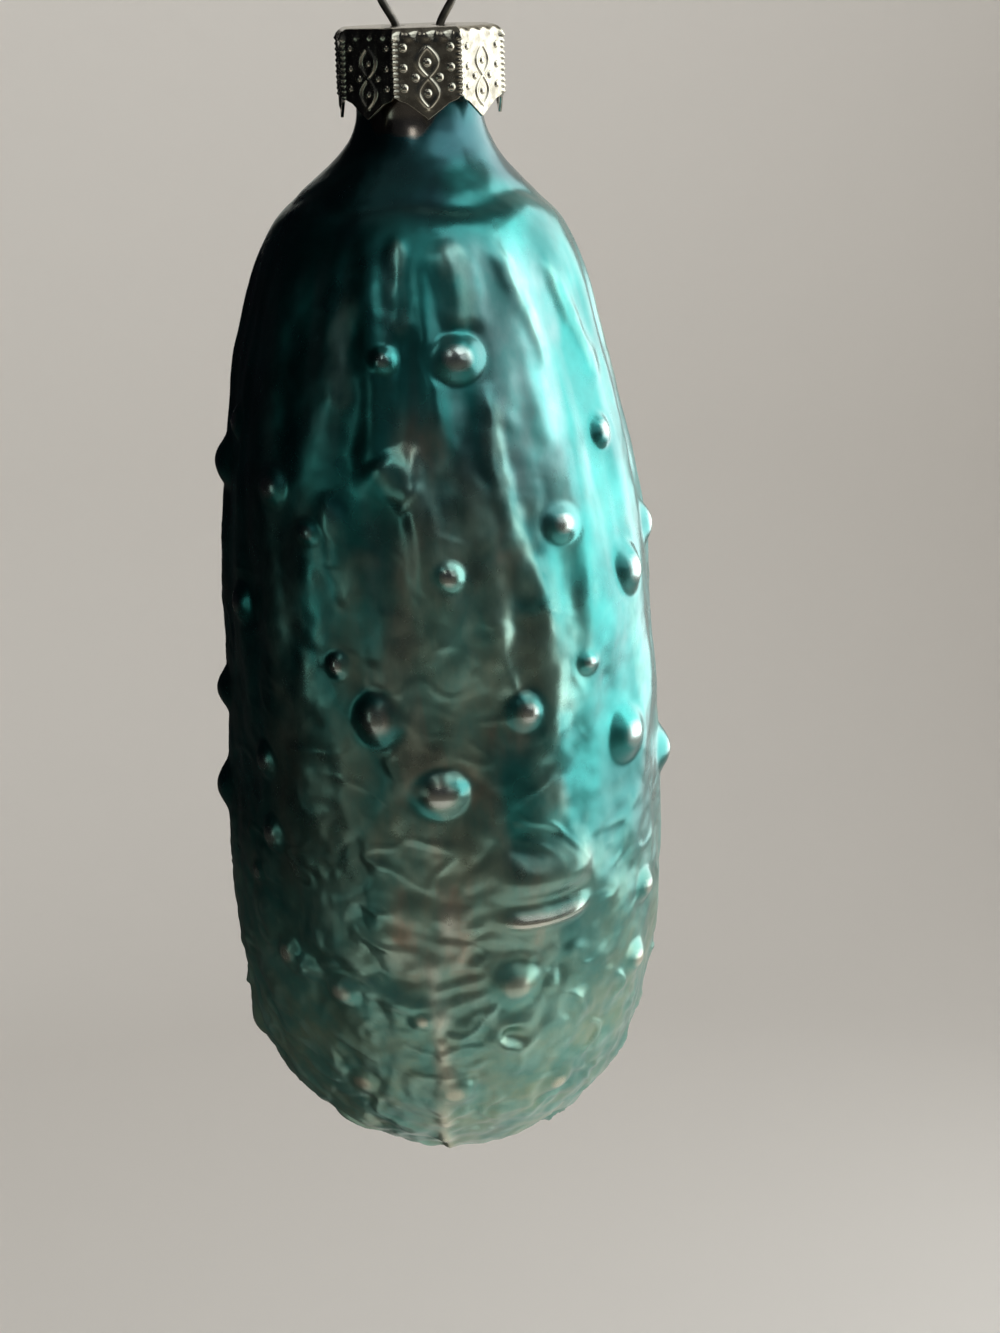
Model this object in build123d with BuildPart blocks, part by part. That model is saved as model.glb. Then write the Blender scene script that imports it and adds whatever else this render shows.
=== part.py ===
from build123d import *
import os
from math import atan, cos, degrees, radians, sin, tan

# Pickle ornament: a mould-blown glass pickle, a stamped metal cap on its neck, and a wire
# hanger whose two legs go through the cap and spring apart inside the neck.
# Millimetres, +Z up. The origin is the inside top of the hanger's loop, where a hook carries it.
# The front faces -Y, and the hanger's loop lies in the XZ plane.

# Hanger wire
wire_diameter = 0.7
loop_radius = 4.0  # centre line of the round top
loop_lean = 25.0  # degrees from upright of the runs that go up to the round top
leg_spacing = 3.1  # centre to centre where the legs pass the cap
leg_drop = 10.2  # from the cap down to the legs' ends
leg_bend_radius = 1.2  # centre line of the bend at the cap
leg_clearance = 0.2  # from a leg's end to the bore of the neck
pull_travel = 5.0  # how far the hanger pulls up out of the cap

# Stamped cap
sheet = 0.25
cap_width = 14.6  # across the corners of the octagon
cap_sides = 8
cap_turn = 7.0  # degrees that the front facet is turned towards +X
skirt_height = 5.6  # straight part of a facet
point_height = 1.75  # from the skirt down to a facet's point
point_shoulder_height = 0.45
point_shoulder_share = 0.62  # of the facet's width
shoulder_radius = 0.8
rib_radius = 0.42  # raised border along each corner
rib_proud = 0.12
slot_clearance = 0.15

# Glass pickle
glass_wall = 0.9
neck_diameter = 10.8
neck_length = 6.6  # from the rim down to where the neck flares out
body_length = 102.0  # from the rim to the lowest point
body_diameter = 40.0  # at the belly, without the warts
seat_clearance = 0.1  # between the rim and the cap

# Stations of the pickle's outline below the neck: how far each lies outside the neck or inside
# the belly, with its depth below the rim
flare_growth = 1.5
flare_depth = 10.2
collar_growth = 6.0
collar_depth = 14.6
chest_inset = 4.0
chest_depth = 25.2
upper_inset = 1.0
upper_depth = 40.6

# Stations near the tip: how far each lies inside the belly, with its rise above the lowest point
hip_inset = 0.5
hip_rise = 20.4
heel_inset = 3.6
heel_rise = 8.9
toe_inset = 11.8
toe_rise = 1.6

# Warts: base radius of each size, and the height of a wart as a share of its base radius
small_wart = 1.2
medium_wart = 1.7
large_wart = 2.4
broad_wart = 3.4
wart_height_share = 0.42

# Warts on the front: angle from the front towards +X in degrees, share of the way down the outline
small_front = [(-10, 0.20), (-32, 0.33), (-25, 0.43), (40, 0.44), (4, 0.36), (-56, 0.62), (-6, 0.72)]
medium_front = [
    (60, 0.27), (-70, 0.26), (-45, 0.30), (36, 0.33), (22, 0.47), (-50, 0.52), (-48, 0.58),
    (60, 0.71), (64, 0.65), (-45, 0.68), (-27, 0.70), (-25, 0.79), (2, 0.79), (34, 0.80),
    (-76, 0.78), (-62, 0.40),
]
large_front = [
    (12, 0.20), (60, 0.38), (-15, 0.47), (0, 0.53), (55, 0.51), (18, 0.695),
    (-84, 0.49), (-80, 0.57), (86, 0.555), (-86, 0.30), (86, 0.36),
]
broad_front = [(29, 0.62)]

# Warts on the back, spread evenly by a constant turn
back_wart_count = 24
back_start = 108.0  # angle where the back begins
back_sweep = 144.0  # degrees that the back covers
back_turn = 0.618  # share of the sweep from one wart to the next
back_top = 0.19  # share down the outline of the first wart
back_bottom = 0.84

# Heights and offsets that follow from the sizes above
wire_radius = wire_diameter / 2
leg_offset = leg_spacing / 2
neck_radius = neck_diameter / 2
belly_radius = body_diameter / 2
bore_radius = neck_radius - glass_wall
lean = radians(loop_lean)
loop_center_z = wire_radius - loop_radius
pinch_z = loop_center_z - (loop_radius - leg_offset * cos(lean)) / sin(lean)
cap_top_z = pinch_z + sheet / 2
rim_z = cap_top_z - sheet - seat_clearance
tip_z = rim_z - body_length
leg_end_offset = bore_radius - wire_radius - leg_clearance
leg_splay = atan((leg_end_offset - leg_offset) / leg_drop)

os.makedirs("parts", exist_ok=True)

# Hanger: one bent wire, from one leg's end over the loop to the other's
tangent_x = loop_radius * cos(lean)
tangent_z = loop_center_z - loop_radius * sin(lean)
leg_end_z = pinch_z - leg_drop
with BuildPart() as hanger:
    with BuildLine(Plane.XZ) as wire_path:
        FilletPolyline(
            (-leg_end_offset, leg_end_z),
            (-leg_offset, pinch_z),
            (-tangent_x, tangent_z),
            radius=leg_bend_radius,
        )
        ThreePointArc(
            (-tangent_x, tangent_z),
            (0, loop_center_z + loop_radius),
            (tangent_x, tangent_z),
        )
        FilletPolyline(
            (tangent_x, tangent_z),
            (leg_offset, pinch_z),
            (leg_end_offset, leg_end_z),
            radius=leg_bend_radius,
        )
    with BuildSketch(Plane(origin=wire_path.line @ 0, z_dir=wire_path.line % 0)):
        Circle(wire_radius)
    sweep()
hanger.part.label = "hanger"
export_step(hanger.part, "parts/hanger.step")

# Cap: an octagonal cup with a pointed tab under each facet and a raised rib along each corner
corner_radius = cap_width / 2
half_side = radians(180 / cap_sides)
facet_reach = corner_radius * cos(half_side)
facet_half_width = corner_radius * sin(half_side)
corner_turn = cap_turn - 180 / cap_sides
skirt_bottom_z = cap_top_z - skirt_height
rib_height = skirt_height - shoulder_radius
inner_corner_radius = (facet_reach - sheet) / cos(half_side)
slot_start = leg_offset - wire_radius - slot_clearance
slot_end = leg_offset + pull_travel * tan(leg_splay) + wire_radius / cos(leg_splay) + slot_clearance
with BuildPart() as cap:
    with BuildSketch(Plane.XY.offset(skirt_bottom_z)):
        RegularPolygon(corner_radius, cap_sides, rotation=corner_turn)
    extrude(amount=skirt_height)
    fillet(cap.faces().sort_by(Axis.Z)[-1].edges(), shoulder_radius)
    for facet in range(cap_sides):
        facet_angle = radians(cap_turn + facet * 360 / cap_sides)
        outward = Vector(cos(facet_angle), sin(facet_angle), 0)
        facet_foot = outward * facet_reach + Vector(0, 0, skirt_bottom_z)
        point_shoulder = facet_half_width * point_shoulder_share
        with BuildSketch(Plane(facet_foot, x_dir=outward.rotate(Axis.Z, 90), z_dir=outward)):
            Polygon(
                (-facet_half_width, 0),
                (-point_shoulder, -point_shoulder_height),
                (0, -point_height),
                (point_shoulder, -point_shoulder_height),
                (facet_half_width, 0),
                align=None,
            )
        extrude(amount=-sheet)
    with BuildSketch(Plane.XY.offset(skirt_bottom_z)):
        with PolarLocations(corner_radius + rib_proud - rib_radius, cap_sides, start_angle=corner_turn):
            Circle(rib_radius)
    extrude(amount=rib_height)
    with BuildSketch(Plane.XY.offset(skirt_bottom_z - point_height)):
        RegularPolygon(inner_corner_radius, cap_sides, rotation=corner_turn)
    extrude(amount=point_height + skirt_height - sheet, mode=Mode.SUBTRACT)
    with BuildSketch(Plane.XY.offset(cap_top_z)):
        with Locations(((slot_start + slot_end) / 2, 0), (-(slot_start + slot_end) / 2, 0)):
            SlotOverall(slot_end - slot_start, wire_diameter + 2 * slot_clearance)
    extrude(amount=-2 * sheet, mode=Mode.SUBTRACT)
cap.part.label = "cap"
export_step(cap.part, "parts/cap.step")

# Glass pickle: a turned shell with warts on its outside
flare_start_z = rim_z - neck_length
upper_z = rim_z - upper_depth
hip_z = tip_z + hip_rise
stations = [
    (neck_radius, flare_start_z),
    (neck_radius + flare_growth, rim_z - flare_depth),
    (neck_radius + collar_growth, rim_z - collar_depth),
    (belly_radius - chest_inset, rim_z - chest_depth),
    (belly_radius - upper_inset, upper_z),
    (belly_radius, (upper_z + hip_z) / 2),
    (belly_radius - hip_inset, hip_z),
    (belly_radius - heel_inset, tip_z + heel_rise),
    (belly_radius - toe_inset, tip_z + toe_rise),
    (0, tip_z),
]


def inset(curve, share):
    """A point one wall's thickness inside the outline."""
    inward = (curve % share).rotate(Axis.Z, -90)
    return curve @ share + inward * glass_wall


def wart_centers(curve, places, base_radius, ball_radius):
    """Centres of the balls whose caps stand on the outline as warts."""
    centers = []
    for angle, share in places:
        outward = (curve % share).rotate(Axis.Z, 90)
        center = curve @ share + outward * (base_radius * wart_height_share - ball_radius)
        turn = radians(angle)
        centers.append((center.X * sin(turn), -center.X * cos(turn), center.Y))
    return centers


back_warts = []
for number in range(back_wart_count):
    angle = back_start + back_sweep * ((number * back_turn) % 1)
    share = back_top + (back_bottom - back_top) * number / (back_wart_count - 1)
    back_warts.append((angle, share))
warts = {
    small_wart: small_front + back_warts[0::3],
    medium_wart: medium_front + back_warts[1::3],
    large_wart: large_front + back_warts[2::3],
    broad_wart: broad_front,
}
cavity_shares = [0, 0.05, 0.12, 0.25, 0.4, 0.55, 0.7, 0.8, 0.9]
with BuildPart() as glass:
    with BuildSketch(Plane.XZ):
        with BuildLine():
            outline = Spline(*stations, tangents=[(0, -1), (-1, 0)], tangent_scalars=[1, 1])
            Polyline((0, tip_z), (0, rim_z), (neck_radius, rim_z), (neck_radius, flare_start_z))
        make_face()
    revolve(axis=Axis.Z)
    for base_radius, places in warts.items():
        ball_radius = base_radius * (1 + wart_height_share**2) / (2 * wart_height_share)
        with Locations(*wart_centers(outline, places, base_radius, ball_radius)):
            Sphere(ball_radius)
    with BuildSketch(Plane.XZ):
        with BuildLine():
            cavity_points = [inset(outline, share) for share in cavity_shares]
            cavity_points.append((0, tip_z + glass_wall))
            Spline(*cavity_points, tangents=[(0, -1), (-1, 0)], tangent_scalars=[1, 1])
            Polyline(
                (0, tip_z + glass_wall),
                (0, rim_z),
                (bore_radius, rim_z),
                (bore_radius, flare_start_z),
            )
        make_face()
    revolve(axis=Axis.Z, mode=Mode.SUBTRACT)
glass.part.label = "glass_pickle"
export_step(glass.part, "parts/glass_pickle.step")

print("leg splay, degrees:", round(degrees(leg_splay), 2))
print("overall height:", round(2 * wire_radius - tip_z, 2))
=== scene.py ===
import math
from itertools import product

import bmesh
import bpy
import numpy as np
from mathutils import Matrix, Vector


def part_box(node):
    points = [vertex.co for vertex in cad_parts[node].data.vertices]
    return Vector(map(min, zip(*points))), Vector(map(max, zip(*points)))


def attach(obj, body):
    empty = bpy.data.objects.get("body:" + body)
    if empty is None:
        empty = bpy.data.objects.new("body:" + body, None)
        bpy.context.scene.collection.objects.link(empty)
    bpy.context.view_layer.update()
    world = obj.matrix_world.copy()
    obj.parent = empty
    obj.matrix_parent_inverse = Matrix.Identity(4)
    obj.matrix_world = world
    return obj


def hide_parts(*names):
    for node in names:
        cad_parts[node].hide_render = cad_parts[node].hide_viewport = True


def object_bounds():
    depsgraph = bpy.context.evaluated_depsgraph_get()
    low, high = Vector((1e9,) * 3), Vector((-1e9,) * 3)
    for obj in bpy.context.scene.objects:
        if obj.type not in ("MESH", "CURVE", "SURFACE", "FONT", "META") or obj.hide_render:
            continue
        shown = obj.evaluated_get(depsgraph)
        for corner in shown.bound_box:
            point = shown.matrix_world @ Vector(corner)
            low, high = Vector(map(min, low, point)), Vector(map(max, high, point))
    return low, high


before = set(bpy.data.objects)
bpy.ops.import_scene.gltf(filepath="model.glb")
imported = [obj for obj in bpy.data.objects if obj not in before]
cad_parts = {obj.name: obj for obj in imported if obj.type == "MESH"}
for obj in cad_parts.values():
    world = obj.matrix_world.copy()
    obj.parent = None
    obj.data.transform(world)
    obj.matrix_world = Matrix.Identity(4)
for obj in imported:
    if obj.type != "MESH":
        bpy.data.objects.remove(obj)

cad_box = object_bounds()

# Lengths below are in millimetres, as in the part's own drawing, and MM turns them into metres.
# Angles on the glass are in degrees from its front towards +X, and depths are below its rim.
MM = 0.001

# Heights that the frame gives
RIM_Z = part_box("glass_pickle")[1].z / MM
TIP_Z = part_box("glass_pickle")[0].z / MM
CAP_TOP_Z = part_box("cap")[1].z / MM
LEG_END_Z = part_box("hanger")[0].z / MM

# Glass pickle: outline as radius and depth, with a straight neck above it
NECK_RADIUS = 5.4
NECK_LENGTH = 6.6
GLASS_WALL = 0.9
FOLDED_WALL = 2.2  # keeps the inner skin clear of the folds
FOLDED_DEPTHS = (8.0, 16.0)  # where the wall grows to that
OUTLINE = [
    (NECK_RADIUS, NECK_LENGTH), (6.9, 10.2), (11.4, 14.6), (16.0, 25.2), (19.0, 40.6), (20.0, 61.1),
    (19.5, 81.6), (16.4, 93.1), (8.2, 100.4), (0.0, 102.0),
]
# The blown body isn't quite straight: depth, and how far its middle lies towards +X there
BOW = [
    (0.0, 0.0), (9.0, -0.15), (13.0, -0.7), (27.0, -0.65), (36.0, -0.25), (45.0, 0.1),
    (60.0, 0.2), (75.0, 0.05), (90.0, -0.3), (98.0, -0.2), (102.0, 0.0),
]
OUTLINE_POINTS = 1200
GLASS_COLUMNS = 420
GLASS_ROWS = 440
INNER_ROWS = 60

# Warts: base radius of each size, and where each stands as its angle and the share of the way
# down the outline
SMALL, MEDIUM, LARGE = 1.2, 1.7, 2.4
WART_HEIGHT_SHARE = 0.42
FRONT_WARTS = {
    SMALL: [(-10, 0.20), (-32, 0.33), (-25, 0.43), (40, 0.44), (4, 0.36), (-56, 0.62), (-6, 0.72)],
    MEDIUM: [
        (60, 0.27), (-70, 0.26), (-45, 0.30), (36, 0.33), (22, 0.47), (-50, 0.52), (-48, 0.58),
        (60, 0.71), (64, 0.65), (-45, 0.68), (-27, 0.70), (-25, 0.79), (2, 0.79), (34, 0.80),
        (-76, 0.78), (-62, 0.40),
    ],
    LARGE: [
        (12, 0.20), (60, 0.38), (-15, 0.47), (0, 0.53), (55, 0.51), (18, 0.695),
        (-84, 0.49), (-80, 0.57), (86, 0.555), (-86, 0.30), (86, 0.36),
    ],
}
BACK_WART_COUNT = 24
BACK_START, BACK_SWEEP, BACK_TURN = 108.0, 144.0, 0.618
BACK_TOP, BACK_BOTTOM = 0.19, 0.84

# Long soft folds: turns of the noise round the body, pitch down it, height and seed
LONG_FOLDS = [(2.3, 34.0, 1.25, 3), (5.2, 19.0, 0.65, 4)]

# Crumple: pitch, height and seed of the pillows, from large to small
PILLOWS = [(6.6, 0.8, 5), (3.2, 0.42, 6), (1.7, 0.16, 19)]
PILLOW_DRIFT = 3.0
PILLOW_EDGE = 0.03  # rounds the creases
GRAIN_HEIGHT = 0.13
VEIN_SLANT = (0.55, -0.3, 0.0)
VEIN_PITCH = (5.2, 5.2, 3.4)
VEIN_HEIGHT = 0.24
RIPPLE_PITCH = (4.2, 4.2, 6.5)
RIPPLE_HEIGHT = 0.4

# Single folds in the glass: points as angle and depth, then width and height
FOLDS = [
    ([(-6.0, 15.4), (-5.5, 19.8), (-4.7, 24.0)], 0.9, 0.30),
    ([(13.0, 15.9), (15.0, 19.9), (15.5, 23.5)], 1.6, 0.38),
    ([(-21.0, 19.0), (-24.0, 24.5), (-23.0, 30.5)], 1.5, 0.28),
    ([(-13.0, 33.0), (-7.0, 35.5), (-3.0, 36.5)], 1.3, 0.42),
    ([(-28.0, 36.0), (-24.0, 40.5), (-21.0, 46.0)], 1.4, 0.28),
    ([(-5.8, 31.8), (-2.7, 35.4), (-0.5, 39.5), (1.0, 44.4), (-1.1, 51.2)], 1.5, 0.50),
    ([(20.2, 27.1), (19.6, 32.7), (21.6, 40.0), (28.5, 47.1)], 1.3, 0.45),
    ([(15.9, 45.6), (16.1, 49.9), (19.6, 53.9)], 0.8, 0.22),
    ([(30.7, 16.4), (38.3, 21.3), (42.1, 27.8)], 1.0, 0.35),
    ([(50.3, 17.7), (58.3, 23.2), (65.8, 29.2)], 1.0, 0.35),
    ([(-45.1, 78.4), (-27.4, 79.5), (-11.4, 80.6), (-1.3, 82.2)], 0.8, 0.40),
    ([(24.1, 90.5), (28.3, 95.7)], 0.6, 0.25),
]

# Collar crease between the neck's flare and the body
COLLAR_DEPTH = 13.4
COLLAR_WANDER = 2.5
COLLAR_GROOVE, COLLAR_LIP = 0.24, 0.15
COLLAR_LIP_BELOW = 2.4

# Mould seams as angle and depth, and the rungs beside the front one
SEAM = [(1.4, 68.0), (-0.4, 74.4), (-2.4, 77.8), (-1.1, 83.2), (-0.3, 89.2), (-0.9, 95.4), (0.0, 101.0)]
SEAM_WIDTH, SEAM_HEIGHT, SEAM_WAVER = 0.75, 0.38, 0.8
BACK_SEAM = [(180.0, 17.0), (181.0, 60.0), (180.0, 101.0)]
BACK_SEAM_WIDTH, BACK_SEAM_HEIGHT = 0.5, 0.18
RUNG_ANGLE, RUNG_DEPTH, RUNG_ASIDE = -0.5, 86.0, 1.9
RUNG_REACH, RUNG_RUN = 2.2, 10.5  # half the width and half the height of their zone
RUNG_PITCH, RUNG_HEIGHT = 2.2, 0.09

# Flattened lump, the thin shelf below it, and the crater below the large wart beside it
LUMP_ANGLE, LUMP_DEPTH, LUMP_HALF_WIDTH = 26.0, 70.4, 4.3
SHELF_BELOW, SHELF_HALF_WIDTH, SHELF_HEIGHT = 3.3, 4.0, 0.7
SHELF_ABOVE_EDGE, SHELF_BELOW_EDGE = 1.0, 0.65  # how softly it rises above and falls below
CALM_BELOW, CALM_HALF_HEIGHT, CALM_HALF_WIDTH = 2.8, 2.4, 4.8
CRATER_ANGLE, CRATER_SHARE = 18.0, 0.741
CRATER_RADIUS, CRATER_RIM, CRATER_SINK = 1.7, 0.34, 0.5

# Painted reflection of a brown room, down the middle of the front and on the lump: depths, and half its
# width in degrees there
THIN_MIDDLE = 2.0
THIN_HALF_WIDTH = ([28.0, 34.0, 46.0, 76.0, 86.0], [0.0, 8.0, 18.0, 22.0, 8.0])
THIN_LUMP_DEPTH = 70.0

# Painted sheen, a pale bluish reflection painted into the lacquer on the upper right: depths, and the
# angle of its side there
HAZE_LEFT = ([16.0, 25.0, 34.0, 46.0], [11.0, 14.0, 15.0, 27.0])
HAZE_RIGHT = ([16.0, 30.0, 46.0], [50.0, 46.0, 36.0])

# Patches of lacquer, a thin one and then patches of painted shade on the front and right: angles where
# each sets in and dies away, depths likewise, and its strength
THIN_PATCH = ((-50.0, -40.0), (-24.0, -12.0), (52.0, 58.0), (68.0, 76.0), 0.8)
POOLED_PATCHES = [
    ((15.0, 20.0), (29.0, 37.0), (25.0, 33.0), (56.0, 66.0), 1.6),
    ((38.0, 48.0), (76.0, 86.0), (-1.0, 0.0), (28.0, 36.0), 0.6),
    ((36.0, 44.0), (76.0, 86.0), (55.0, 63.0), (82.0, 94.0), 1.5),
]

# Bare silver on the neck, which reaches lower at the front left
BARE_DEPTH, BARE_DIP = 5.2, 3.1
BARE_DIP_ANGLE, BARE_DIP_WIDTH = -17.0, 38.0

# Stamped cap: edge as the share of a facet's half width and the drop below the top
SHEET = 0.25
CAP_WIDTH = 14.6
CAP_SIDES = 8
CAP_TURN = 7.0
CAP_SHOULDER = 0.8
CAP_EDGE = [(0.0, 7.35), (0.62, 6.05), (0.86, 5.8), (1.0, 5.45)]
CAP_APOTHEM = 0.5 * CAP_WIDTH * math.cos(math.pi / CAP_SIDES)
SLOT_START, SLOT_END, SLOT_WIDTH = 1.05, 3.23, 1.0
FACET_COLUMNS = 72
TOP_ROWS, SHOULDER_ROWS, SKIRT_ROWS = 13, 11, 103

# The cap's stamping: a braid of two almonds, dots beside it, beaded ribs and a scalloped edge
BRAID_TOP, BRAID_PITCH, BRAID_REACH = 1.55, 2.45, 0.8
BRAID_WIDTH, BRAID_HEIGHT = 0.19, 0.13
DOT_RADIUS, DOT_HEIGHT = 0.32, 0.16
DOTS = [(0.0, 2.8), (0.0, 5.25), (-1.0, 4.0), (1.0, 4.0)]
DOTS += [(side, drop) for side in (-1.95, 1.95) for drop in (1.6, 3.2, 4.8)]
RIB_HEIGHT, RIB_WIDTH, BEAD_HEIGHT, BEAD_PITCH = 0.15, 0.30, 0.06, 0.46
SCALLOP_HEIGHT, SCALLOP_PITCH = 0.07, 1.42
TAB_LEAN = (-0.10, 0.22)
DENT_HEIGHTS = (0.05, 0.05, 0.03)

# Hanger wire
WIRE_RADIUS = 0.35
WIRE_COLUMNS = 24
LOOP_RADIUS = 4.0
LOOP_LEAN = math.radians(25.0)
LOOP_SWELL = 0.28
LEG_OFFSET = 1.55
LEG_END_OFFSET = 3.95
LEG_DROP = 10.2
LEG_BEND_RADIUS = 1.2

# Camera, from the photograph's perspective
PHOTO_HEIGHT = 1333
FOCAL_PIXELS = 2300.0
SENSOR = 36.0
CAMERA_PITCH = math.radians(17.2)
CAMERA_ROLL = math.radians(1.6)
CAMERA_PLACE = (5.4, -201.0, CAP_TOP_Z + 5.5)

# Studio: a pale floor that bends up into a round wall
FLOOR_Z = TIP_Z - 230.0
FLOOR_RADIUS = 500.0
TENT_RADIUS = 660.0
TENT_HEIGHT = 1000.0
PAPER = (0.72, 0.695, 0.665)
SKY, SKY_STRENGTH = (0.62, 0.60, 0.57), 0.18
MIDDLE = (0.0, 0.0, 0.5 * (TIP_Z + RIM_Z))

# Lamps as place, size, radiance and colour. The boxes aim at the middle of the pickle
DAYLIGHT, COOL, WARM, GREENISH = (0.97, 1.0, 1.0), (0.94, 1.0, 1.0), (1.0, 0.98, 0.95), (0.80, 1.0, 0.90)
WINDOW_SIZE = (620.0, 535.0)
WINDOW_PLACE = (385.0, 125.0, FLOOR_Z + 106.0 + 0.5 * WINDOW_SIZE[1])
WINDOW_RADIANCE = 2.35
BOXES = {
    "high_box": ((265.0, -185.0, 335.0), (420.0, 280.0), 1.5, COOL),
    "side_box": ((330.0, -250.0, 95.0), (330.0, 200.0), 0.55, COOL),
    "front_strip": ((-87.0, -400.0, 260.0), (64.0, 300.0), 1.7, WARM),
}
LEFT_STRIP = ((-252.0, -192.0, -65.0), (36.0, 150.0), 0.65, GREENISH)
WASH_SIZE, WASH_RADIANCE = (420.0, 160.0), 3.3
WASH_REACH, WASH_Z, WASH_TARGET_Z = 280.0, 420.0, 290.0

# Cards that the glass reflects: span of angles, profile as radius and height, and glow from a low
# height to a high one
CARD_BOTTOM, CARD_TOP = FLOOR_Z + 3.0, FLOOR_Z + 0.97 * TENT_HEIGHT
CARDS = {
    "dark_card": (
        (-48.0, -162.0), [(110.0, CARD_BOTTOM), (330.0, FLOOR_Z + 130.0), (330.0, CARD_TOP)],
        ((0.02, 0.02, 0.018), (0.004, 0.004, 0.005), -250.0, -90.0),
    ),
    "warm_card": (
        (-48.0, 60.0), [(450.0, CARD_BOTTOM), (450.0, CARD_TOP)],
        ((0.165, 0.15, 0.125), (0.02, 0.022, 0.025), -330.0, 80.0),
    ),
}


def smooth(low, high, value):
    """0 below low, 1 above high, and a smooth step between. It falls where low is above high."""
    share = np.clip((value - low) / (high - low), 0.0, 1.0)
    return share * share * (3.0 - 2.0 * share)


def band(rise, fall, value):
    """Rises from 0 to 1 over the first pair of values and falls back over the second."""
    return smooth(*rise, value) * smooth(fall[1], fall[0], value)


def bell(distance, width, power=2):
    """1 in the middle and nearly 0 beyond the width, with a flatter top for a higher power."""
    return np.exp(-((distance / width) ** power))


def unit_rows(vectors):
    """Each row as a vector of length 1."""
    return vectors / np.linalg.norm(vectors, axis=1)[:, None]


def gradient_noise(points, seed):
    """Smooth noise at 3-D points, about -0.6 to 0.6, the same in each run."""
    size = 256
    draw = np.random.default_rng(seed)
    slopes = unit_rows(draw.normal(size=(size, 3)))
    order = draw.permutation(size)
    cell = np.floor(points).astype(int)
    part = points - cell
    fade = part**3 * (part * (part * 6.0 - 15.0) + 10.0)
    total = np.zeros(len(points))
    for corner in product((0, 1), repeat=3):
        near = cell + corner
        pick = order[(order[(order[near[:, 0] % size] + near[:, 1]) % size] + near[:, 2]) % size]
        weight = np.prod(np.where(corner, fade, 1.0 - fade), axis=1)
        total += weight * np.sum((part - corner) * slopes[pick], axis=1)
    return total


def cubic_through(points, start_slope, end_slope, count):
    """Points along a clamped cubic spline through the given points, spaced by chord length."""
    points = np.array(points, dtype=float)
    steps = np.linalg.norm(np.diff(points, axis=0), axis=1)
    knots = np.concatenate([[0.0], np.cumsum(steps)])
    last = len(points) - 1
    system = np.zeros((last + 1, last + 1))
    right = np.zeros_like(points)
    system[0, 0] = system[last, last] = 1.0
    right[0], right[last] = start_slope, end_slope
    for i in range(1, last):
        before, after = steps[i - 1], steps[i]
        system[i, i - 1 : i + 2] = after, 2.0 * (before + after), before
        rise_before = (points[i] - points[i - 1]) / before
        rise_after = (points[i + 1] - points[i]) / after
        right[i] = 3.0 * (rise_before * after + rise_after * before)
    slopes = np.linalg.solve(system, right)
    place = np.linspace(0.0, knots[-1], count)
    span = np.clip(np.searchsorted(knots, place, side="right") - 1, 0, last - 1)
    width = steps[span][:, None]
    t = ((place - knots[span]) / steps[span])[:, None]
    return (
        (2 * t**3 - 3 * t**2 + 1) * points[span]
        + (t**3 - 2 * t**2 + t) * width * slopes[span]
        + (3 * t**2 - 2 * t**3) * points[span + 1]
        + (t**3 - t**2) * width * slopes[span + 1]
    )


def resample(line, count):
    """The same line with its points evenly spaced, and each point's length along it."""
    length = np.concatenate([[0.0], np.cumsum(np.linalg.norm(np.diff(line, axis=0), axis=1))])
    place = np.linspace(0.0, length[-1], count)
    columns = [np.interp(place, length, line[:, axis]) for axis in range(line.shape[1])]
    return np.stack(columns, axis=1), place


def add_object(name, data):
    """A new object of the scene, with its mesh, lamp or lens."""
    made = bpy.data.objects.new(name, data)
    bpy.context.scene.collection.objects.link(made)
    return made


def mesh_piece(name, points_mm, faces, attributes=None):
    """A smooth-shaded mesh object from points in millimetres, with named point attributes."""
    mesh = bpy.data.meshes.new(name)
    mesh.from_pydata((np.asarray(points_mm) * MM).tolist(), [], faces)
    for title, values in (attributes or {}).items():
        layer = mesh.attributes.new(title, "FLOAT", "POINT")
        layer.data.foreach_set("value", np.asarray(values, dtype=np.float32))
    mesh.validate()
    mesh.shade_smooth()
    return add_object(name, mesh)


def ring_faces(first, second, count, flip=False):
    """Quads between two closed rings whose first vertices are given."""
    faces = []
    for i in range(count):
        j = (i + 1) % count
        quad = (first + i, second + i, second + j, first + j)
        faces.append(quad[::-1] if flip else quad)
    return faces


def tube_faces(rows, columns, first=0, flip=False):
    """Quads between each ring and the next, from the first vertex of the first ring."""
    starts = range(first, first + (rows - 1) * columns, columns)
    return [quad for start in starts for quad in ring_faces(start, start + columns, columns, flip)]


def inside_cad_box(points_mm):
    """The points, held inside the box of the part's solids."""
    return np.clip(points_mm, *(np.array(cad_box) / MM))


def bow_at(depth):
    """How far the middle of the body lies to the side at a depth."""
    return np.interp(depth, *np.array(BOW).T)


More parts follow.
